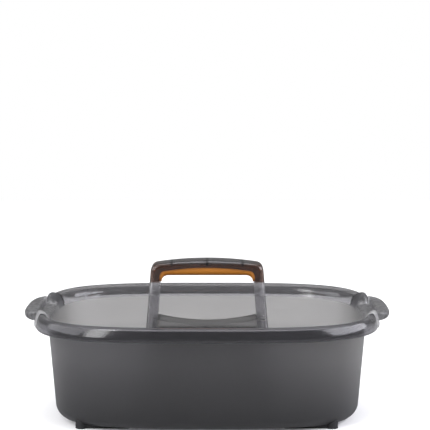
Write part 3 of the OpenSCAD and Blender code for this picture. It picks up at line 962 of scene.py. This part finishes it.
def smoke_tub_material(grain, wear):
    """Smoke-grey translucent plastic: frosted walls, mottled end grips and a polished rim. Painted shade
    makes it deeper at the front, painted light makes it paler at the back and right end, and it is darker low
    down and on the rim. The near collars carry a painted highlight, the far ones painted shade, with a line
    of painted shade round each collar."""
    material, tree, shader = new_material("smoke_tub")
    shader.inputs["IOR"].default_value = PLASTIC_IOR
    shader.inputs["Transmission Weight"].default_value = PLASTIC_CLEARNESS
    texture = use_group(tree, grain, grain_scale=1400.0, cloud_scale=9.0)
    mottle = use_group(tree, grain, grain_scale=420.0, cloud_scale=260.0)
    marks = use_group(tree, wear, scale=160.0, amount=1.0)
    cloud = texture.outputs["Cloud"]
    patches = ramp(tree, mottle.outputs["Cloud"], 0.38, 0.62)
    place = object_place(tree)
    # Shares of the lighter tones: painted light towards the back and on the right end, painted shade on the
    # front.
    back_light_share = ramp(tree, place["Y"], -120 * MM, 40 * MM)
    right_light_share = ramp(tree, place["X"], 60 * MM, 170 * MM, 0.85)
    far_half = ramp(tree, place["Y"], 20 * MM, 30 * MM)
    above_floor = height_mask(tree, 10 * MM, 75 * MM)
    rim = height_mask(tree, RIM_TOP - RIM_DROP - 1 * MM, RIM_TOP - RIM_DROP + 1 * MM)
    grip, collar, line = end_masks(tree)
    shaded_front_roll, lit_back_roll = blend_colours(tree, cloud, *FRONT_ROLL_SHADED), blend_colours(tree, cloud, *BACK_ROLL_LIT)
    rolled = blend(tree, back_light_share, shaded_front_roll, lit_back_roll)
    # Near collars get a painted highlight, far collars painted shade.
    lit_and_shaded_collars = blend(tree, far_half, blend_colours(tree, patches, *NEAR_COLLARS_LIT), FAR_COLLARS_SHADED)
    gripped = blend(tree, collar, blend_colours(tree, patches, *GRIP_LOBES), lit_and_shaded_collars)
    # The collar line is painted shade standing in for a groove.
    at_rim = blend(tree, line, blend(tree, grip, rolled, gripped), COLLAR_LINE_SHADE)
    # Painted shade on the front wall, painted light on the back wall and the right end.
    front, back = blend_colours(tree, cloud, *FRONT_WALL_SHADED), blend_colours(tree, cloud, *BACK_WALL_LIT)
    walls = blend(tree, calc(tree, "MAXIMUM", back_light_share, right_light_share), front, back)
    walls = blend(tree, above_floor, blend_colours(tree, cloud, *LOW_WALL), walls)
    colour = blend(tree, rim, walls, at_rim)
    tree.links.new(colour, shader.inputs["Base Color"])
    polished_share = calc(tree, "MULTIPLY", rim, calc(tree, "SUBTRACT", 1.0, grip))
    frosted = calc(tree, "MULTIPLY_ADD", cloud, 0.12, 0.36)
    polished = calc(tree, "MULTIPLY_ADD", marks.outputs["Rubbed"], 0.10, 0.12)
    gloss = blend_values(tree, polished_share, frosted, polished)
    rough = calc(tree, "MULTIPLY_ADD", marks.outputs["Scratches"], 0.12, gloss)
    tree.links.new(rough, shader.inputs["Roughness"])
    knobbly = calc(tree, "MULTIPLY", calc(tree, "MULTIPLY", grip, rim), mottle.outputs["Height"])
    knobbly = calc(tree, "MULTIPLY", knobbly, calc(tree, "SUBTRACT", 1.0, collar))
    height = calc(tree, "MULTIPLY_ADD", knobbly, 6.0, texture.outputs["Height"])
    add_bump(tree, shader, height, 0.12, 0.00015)
    return material


def smoke_handle_material(grain, wear):
    """The same plastic, polished all over: painted brown at the insert's height stands in for the orange
    insert seen through the shell, and painted shade lies over each wide rib.
    """
    material, tree, shader = new_material("smoke_handle")
    shader.inputs["IOR"].default_value = PLASTIC_IOR
    shader.inputs["Transmission Weight"].default_value = PLASTIC_CLEARNESS
    texture = use_group(tree, grain, grain_scale=1100.0, cloud_scale=22.0)
    marks = use_group(tree, wear, scale=260.0, amount=1.0)
    cloud = texture.outputs["Cloud"]
    above_legs = height_mask(tree, INSERT_END_Z, INSERT_END_Z + 1 * MM)
    above_insert = height_mask(tree, UNDERSIDE_Z + 2.5 * MM, UNDERSIDE_Z + 5 * MM)
    # Over the insert the shell gets painted brown, standing in for the orange seen through it.
    legs, over_insert = blend_colours(tree, cloud, *HANDLE_LEGS), blend_colours(tree, cloud, *OVER_INSERT)
    colour = blend(tree, above_legs, legs, over_insert)
    colour = blend(tree, above_insert, colour, blend_colours(tree, cloud, *BAR_TOP))
    off_rib = calc(tree, "PINGPONG", object_place(tree)["X"], BAR_RIB_PITCH)
    over_rib = ramp(tree, off_rib, 2 * WIDE_RIB_HALF, WIDE_RIB_HALF)
    in_bar = height_mask(tree, UNDERSIDE_Z + 1.5 * MM, UNDERSIDE_Z + 3 * MM)
    colour = blend(tree, calc(tree, "MULTIPLY", over_rib, in_bar), colour, RIB_SHADE)
    tree.links.new(colour, shader.inputs["Base Color"])
    polished = calc(tree, "MULTIPLY_ADD", marks.outputs["Rubbed"], 0.12, 0.16)
    rough = calc(tree, "MULTIPLY_ADD", marks.outputs["Scratches"], 0.15, polished)
    tree.links.new(rough, shader.inputs["Roughness"])
    add_bump(tree, shader, texture.outputs["Height"], 0.08, 0.0001)
    return material


def orange_insert_material(grain, wear):
    """Soft orange grip with a fine pebbled skin."""
    material, tree, shader = new_material("orange_insert")
    shader.inputs["IOR"].default_value = 1.5
    texture = use_group(tree, grain, grain_scale=900.0, cloud_scale=30.0)
    marks = use_group(tree, wear, scale=200.0, amount=1.0)
    colour = blend_colours(tree, texture.outputs["Cloud"], *ORANGE_SKIN)
    tree.links.new(colour, shader.inputs["Base Color"])
    rough = calc(tree, "MULTIPLY_ADD", marks.outputs["Rubbed"], -0.12, 0.55)
    tree.links.new(rough, shader.inputs["Roughness"])
    add_bump(tree, shader, texture.outputs["Height"], 0.25, 0.0002)
    return material


def foot_rubber_material(grain, wear):
    """Near-black rubber, scuffed paler where it meets the floor."""
    material, tree, shader = new_material("foot_rubber")
    texture = use_group(tree, grain, grain_scale=1600.0, cloud_scale=60.0)
    marks = use_group(tree, wear, scale=500.0, amount=1.0)
    low_down = calc(tree, "SUBTRACT", 1.0, height_mask(tree, 0.0, 1.5 * MM))
    scuff = calc(tree, "MULTIPLY", low_down, marks.outputs["Rubbed"])
    colour = blend_colours(tree, scuff, CLEAN_RUBBER, SCUFFED_RUBBER)
    tree.links.new(colour, shader.inputs["Base Color"])
    tree.links.new(calc(tree, "MULTIPLY_ADD", texture.outputs["Cloud"], 0.2, 0.6), shader.inputs["Roughness"])
    add_bump(tree, shader, texture.outputs["Height"], 0.3, 0.0002)
    return material


def mirror_share(tree):
    """1 for a ray mirrored by a surface, and 0 for one that passed through it or comes from the camera."""
    path = tree.nodes.new("ShaderNodeLightPath")
    mirrored_only = calc(tree, "SUBTRACT", path.outputs["Is Glossy Ray"], path.outputs["Is Transmission Ray"])
    return calc(tree, "MAXIMUM", mirrored_only, 0.0)


def floor_material():
    """Nearly white, and darker where a surface mirrors it."""
    material, tree, shader = new_material("pale_floor")
    place = tree.nodes.new("ShaderNodeTexCoord").outputs["Object"]
    speckle = add_node(tree, "ShaderNodeTexNoise", {"Vector": place, "Scale": 3.0, "Detail": 4.0})
    pale = blend_colours(tree, speckle.outputs[0], *PALE_FLOOR)
    colour = blend(tree, calc(tree, "MULTIPLY", mirror_share(tree), 0.65), pale, (0.0, 0.0, 0.0, 1))
    tree.links.new(colour, shader.inputs["Base Color"])
    shader.inputs["Roughness"].default_value = 0.9
    shader.inputs["Specular IOR Level"].default_value = 0.1
    return material


# =====================================================================================
# Pieces
# =====================================================================================
grain = moulded_grain_group()
wear = handling_wear_group()
rib_row = rib_row_tree()

SMOKE_TUB = smoke_tub_material(grain, wear)
SMOKE_HANDLE = smoke_handle_material(grain, wear)
ORANGE = orange_insert_material(grain, wear)
RUBBER = foot_rubber_material(grain, wear)


def paint(thing, material):
    thing.data.materials.clear()
    thing.data.materials.append(material)


for piece, material, node, slot in (
    (make_tub(SMOKE_TUB, rib_row), SMOKE_TUB, "tub", "smoke_tub"),
    (make_handle(SMOKE_HANDLE, rib_row), SMOKE_HANDLE, "handle", "smoke_handle"),
    (make_insert(), ORANGE, "grip_insert", "orange_insert"),
):
    paint(piece, material)
    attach(piece, BODY)
    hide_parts(node)

for name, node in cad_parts.items():
    if name.startswith("foot_"):
        for slot in node.material_slots:
            slot.material = RUBBER


# =====================================================================================
# Floor, light and camera
# =====================================================================================
FLOOR_HALF, FLOOR_BACK = 4.0, 2.0
CAMERA_PLACE = (8.9 * MM, -1.488, 0.4125)
CAMERA_DROP = 7.34
LENS, SENSOR = 111.1, 36


def make_floor():
    half, back = FLOOR_HALF, FLOOR_BACK
    mesh = bpy.data.meshes.new("floor")
    corners = [(-half, -half, 0), (half, -half, 0), (half, back, 0), (-half, back, 0)]
    mesh.from_pydata(corners, [], [(0, 1, 2, 3)])
    floor = new_object("floor", mesh)
    paint(floor, floor_material())


def aim_lamp(name, light, place):
    lamp = bpy.data.objects.new(name, light)
    lamp.location = place
    target = Vector((0, 0, RIM_TOP / 2))
    lamp.rotation_euler = (target - Vector(place)).to_track_quat("-Z", "Y").to_euler()
    lamp.visible_camera = False
    bpy.context.scene.collection.objects.link(lamp)
    return lamp


def make_softbox(name, place, size, power, colour=(1, 1, 1)):
    light = bpy.data.lights.new(name, "AREA")
    light.shape = "RECTANGLE"
    light.size, light.size_y = size
    light.energy = power
    light.color = colour
    return aim_lamp(name, light, place)


def make_sky_panel():
    """Even light from above and a little behind, which glossy surfaces don't mirror."""
    light = bpy.data.lights.new("sky_panel", "SUN")
    light.energy = 1.3
    light.angle = math.radians(50)
    aim_lamp("sky_panel", light, (0.0, 0.6, 2.0)).visible_glossy = False


def make_world():
    """A white surround: brightest seen directly or through plastic, and dimmest in mirrored rays."""
    world = bpy.data.worlds.new("studio")
    bpy.context.scene.world = world
    world.use_nodes = True
    tree = world.node_tree
    background = tree.nodes["Background"]
    path = tree.nodes.new("ShaderNodeLightPath")
    seen = calc(tree, "MAXIMUM", path.outputs["Is Camera Ray"], path.outputs["Is Transmission Ray"])
    strength = calc(tree, "MULTIPLY_ADD", seen, 0.4, 0.6)
    strength = calc(tree, "MULTIPLY_ADD", mirror_share(tree), -0.4, strength)
    tree.links.new(strength, background.inputs["Strength"])
    background.inputs["Color"].default_value = (1, 1, 1, 1)


def make_camera():
    camera = bpy.data.cameras.new("camera")
    camera.lens, camera.sensor_width = LENS, SENSOR
    view = bpy.data.objects.new("camera", camera)
    view.location = CAMERA_PLACE
    view.rotation_euler = (math.radians(90 - CAMERA_DROP), 0, 0)
    bpy.context.scene.collection.objects.link(view)
    bpy.context.scene.camera = view


make_floor()
make_world()
make_sky_panel()
make_softbox("softbox_left", (-1.45, -0.35, 0.85), (1.7, 0.9), 16, (0.95, 0.95, 1.0))
make_softbox("softbox_right", (1.45, -0.35, 0.85), (1.9, 0.9), 36, (0.93, 0.93, 1.0))
make_softbox("key_left", (-0.70, -0.98, 0.80), (0.34, 1.2), 10)
make_camera()
bpy.context.scene.view_settings.view_transform = "Standard"
